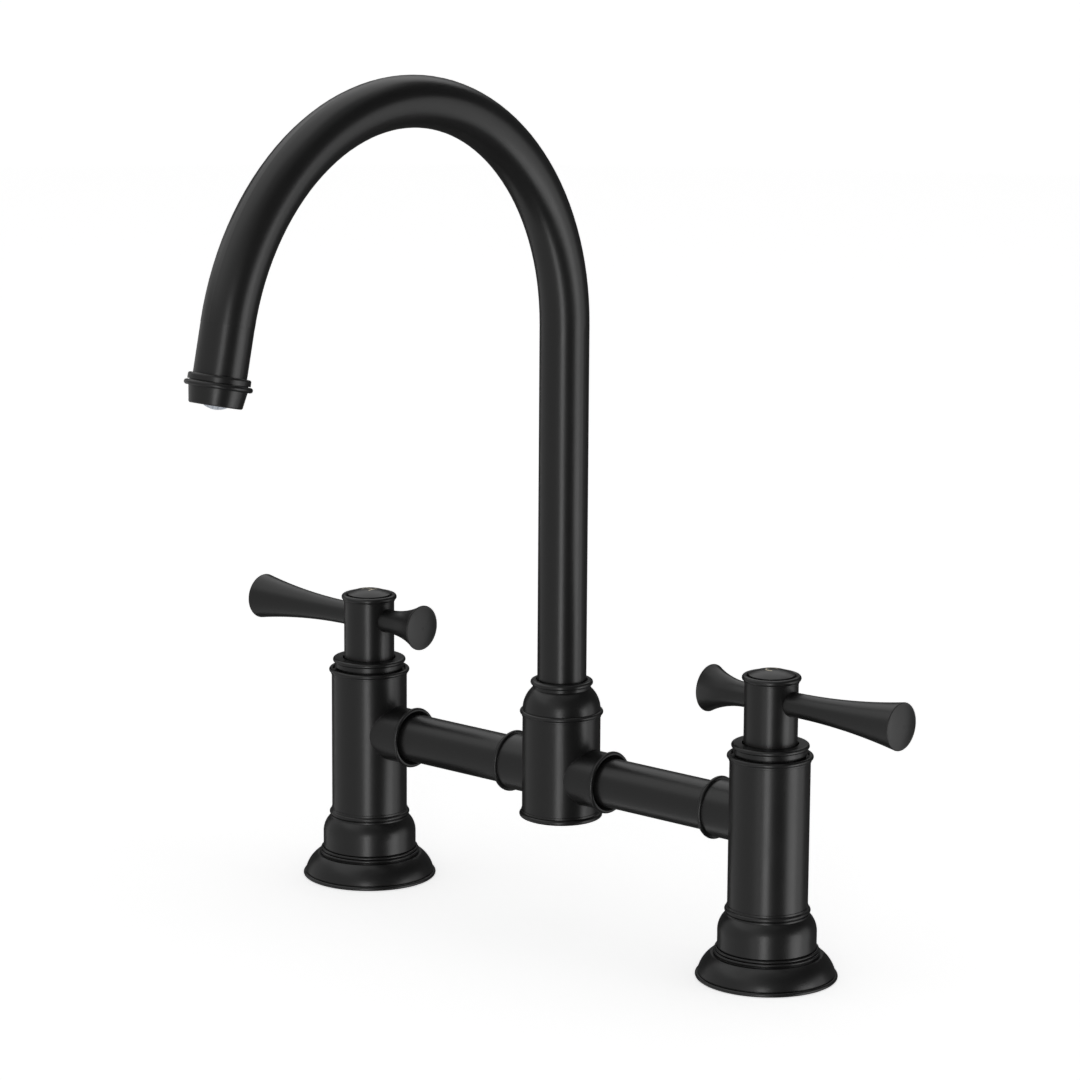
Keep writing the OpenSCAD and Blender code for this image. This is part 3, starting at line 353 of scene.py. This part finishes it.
def straight(x0, y0, x1, y1, steps=8):
    """Points along a straight stroke, given in millimetres from the cap's centre."""
    return [
        ((x0 + (x1 - x0) * i / steps) * MM, (y0 + (y1 - y0) * i / steps) * MM)
        for i in range(steps + 1)
    ]


# Half the letters' height and width, and of the bar, which stops at the edges of the uprights
H_UP, H_OUT, H_BAR = 2.75, 2.25, 1.95
C_UP, C_OUT = 2.6 * MM, 2.4 * MM
printed_letter("hot_letter", -1, "hot_handle", [
    straight(-H_OUT, -H_UP, -H_OUT, H_UP),
    straight(H_OUT, -H_UP, H_OUT, H_UP),
    straight(-H_BAR, 0, H_BAR, 0),
])
printed_letter("cold_letter", 1, "cold_handle", [[
    (C_OUT * math.cos(math.radians(a)), C_UP * math.sin(math.radians(a)))
    for a in range(48, 313, 12)
]])

# Floor and background


def seen(tree):
    """1 where the camera sees a thing, straight, in a mirror or through glass, and else 0."""
    paths = add(tree, "ShaderNodeLightPath")
    mirrored = add(tree, "ShaderNodeMath", {
        0: paths.outputs["Is Glossy Ray"], 1: paths.outputs["Is Transmission Ray"],
    }, operation="MAXIMUM")
    either = add(tree, "ShaderNodeMath", {
        0: paths.outputs["Is Camera Ray"], 1: mirrored.outputs[0],
    }, operation="MAXIMUM")
    return either.outputs[0]


FLOOR_HALF = 6.0
FLOOR_DROP = 0.2 * MM  # keeps the floor's face clear of the flanges' undersides
FLOOR_LIFT = 0.6  # with the room's light the open floor is white, and the tap's shadow stays
floor_mesh = bpy.data.meshes.new("floor")
floor_mesh.from_pydata(
    [(x * FLOOR_HALF, y * FLOOR_HALF, 0) for x, y in ((-1, -1), (1, -1), (1, 1), (-1, 1))],
    [], [(0, 1, 2, 3)],
)
floor = set_down("floor", floor_mesh)
floor.location.z = -FLOOR_DROP
# The studio's deck_flag stands for the floor in mirrors, and no lamp is shaded from below
floor.visible_glossy = False
floor.visible_shadow = False
floor_white, tree, shader = finish_named(
    "floor_white", Base_Color=linear("#ffffff"), Roughness=1.0
)
lift = add(tree, "ShaderNodeMath", {0: seen(tree), 1: FLOOR_LIFT}, operation="MULTIPLY")
glow = add(tree, "ShaderNodeEmission", {"Strength": lift.outputs[0]})
both = add(tree, "ShaderNodeAddShader", {0: shader.outputs[0], 1: glow.outputs[0]})
tree.links.new(both.outputs[0], tree.nodes["Material Output"].inputs["Surface"])
floor_mesh.materials.append(floor_white)

ROOM_LIGHT = 0.4  # the plain light of the room; the background is white to camera and mirrors
world = bpy.data.worlds.new("studio")
scene.world = world
world.use_nodes = True
tree = world.node_tree
tree.nodes.clear()
strength = add(tree, "ShaderNodeMapRange", {
    "Value": seen(tree), "To Min": ROOM_LIGHT, "To Max": 1.0,
})
white = add(tree, "ShaderNodeBackground", {
    "Color": (1, 1, 1, 1), "Strength": strength.outputs[0],
})
add(tree, "ShaderNodeOutputWorld", {"Surface": white.outputs[0]})

# Studio light, set out round the tap in degrees from the camera to its right

STUDIO_TURN = math.radians(40.6)  # the camera's own direction
MIDDLE = Vector((0, -0.05, 0.17))
FLAG_STEPS = 24


def toward(azimuth, distance, z=0.0):
    """A place round the tap; azimuth is in degrees from the camera to its right."""
    turn = STUDIO_TURN + math.radians(azimuth)
    return Vector((math.sin(turn) * distance, -math.cos(turn) * distance, z))


def flag(name, azimuths, elevations, tones, distance=3.0):
    """A curved card that only mirrors see, between two azimuths and two elevations as seen
    from the tap, graded from the first tone to the second along its azimuths."""
    foot, top = [math.tan(math.radians(e)) * distance for e in elevations]
    points = []
    for i in range(FLAG_STEPS + 1):
        turn = azimuths[0] + (azimuths[1] - azimuths[0]) * i / FLAG_STEPS
        points += [MIDDLE + toward(turn, distance, z) for z in (foot, top)]
    card = bpy.data.meshes.new(name)
    card.from_pydata(
        points, [], [(2 * i, 2 * i + 2, 2 * i + 3, 2 * i + 1) for i in range(FLAG_STEPS)]
    )
    tone = card.attributes.new("tone", "FLOAT", "POINT")
    for i, point in enumerate(tone.data):
        point.value = tones[0] + (tones[1] - tones[0]) * (i // 2) / FLAG_STEPS
    finish, tree, shader = finish_named(name)
    shade = add(tree, "ShaderNodeAttribute", attribute_name="tone")
    glow = add(tree, "ShaderNodeEmission", {"Strength": shade.outputs["Fac"]})
    tree.links.new(glow.outputs[0], tree.nodes["Material Output"].inputs["Surface"])
    finish.cycles.emission_sampling = "NONE"
    card.materials.append(finish)
    stand = set_down(name, card)
    for ray in ("camera", "diffuse", "transmission", "shadow", "volume_scatter"):
        setattr(stand, "visible_" + ray, False)


def softbox(name, azimuth, height, distance, size, radiance):
    """An upright softbox that faces the tap."""
    lamp = bpy.data.lights.new(name, "AREA")
    lamp.shape = "RECTANGLE"
    lamp.size, lamp.size_y = size
    lamp.energy = radiance * math.pi * size[0] * size[1]
    holder = set_down(name, lamp)
    holder.location = toward(azimuth, distance, height)
    holder.rotation_euler = (math.radians(90), 0, STUDIO_TURN + math.radians(azimuth))
    holder.visible_camera = False


# Dark felt at the front, right and back gives the black coat its darks, and the cards above it
# fade towards the white overhead
flag("graded_flag", (-60, 20), (6, 60), (0.9, 0.1))
flag("front_flag", (-25, 112), (-58, 6), (0.03, 0.03))
flag("high_flag", (20, 112), (6, 56), (0.1, 0.03))
flag("ceiling_flag", (-30, 130), (56, 77), (0.4, 0.25))
flag("right_flag", (112, 150), (-58, 53), (0.08, 0.05))
flag("back_flag", (150, 225), (-58, 24), (0.05, 0.05))
# A grey wall close by on the left, and a pale card on the right for the lever ends
flag("grey_wall", (-135, -25), (-58, 27), (0.48, 0.48), distance=0.5)
flag("bounce_card", (74, 108), (-42, 16), (1.0, 0.85), distance=2.6)
# What the deck gives back to mirrors from below
flag("deck_flag", (0, 360), (-89, -58), (0.1, 0.1), distance=2.9)

softbox("key_strip", -7.5, -0.83, 2.2, (0.46, 3.25), 4.7)
softbox("side_box", 64, -0.74, 2.0, (0.9, 2.5), 2.3)

scene.view_settings.view_transform = "Standard"
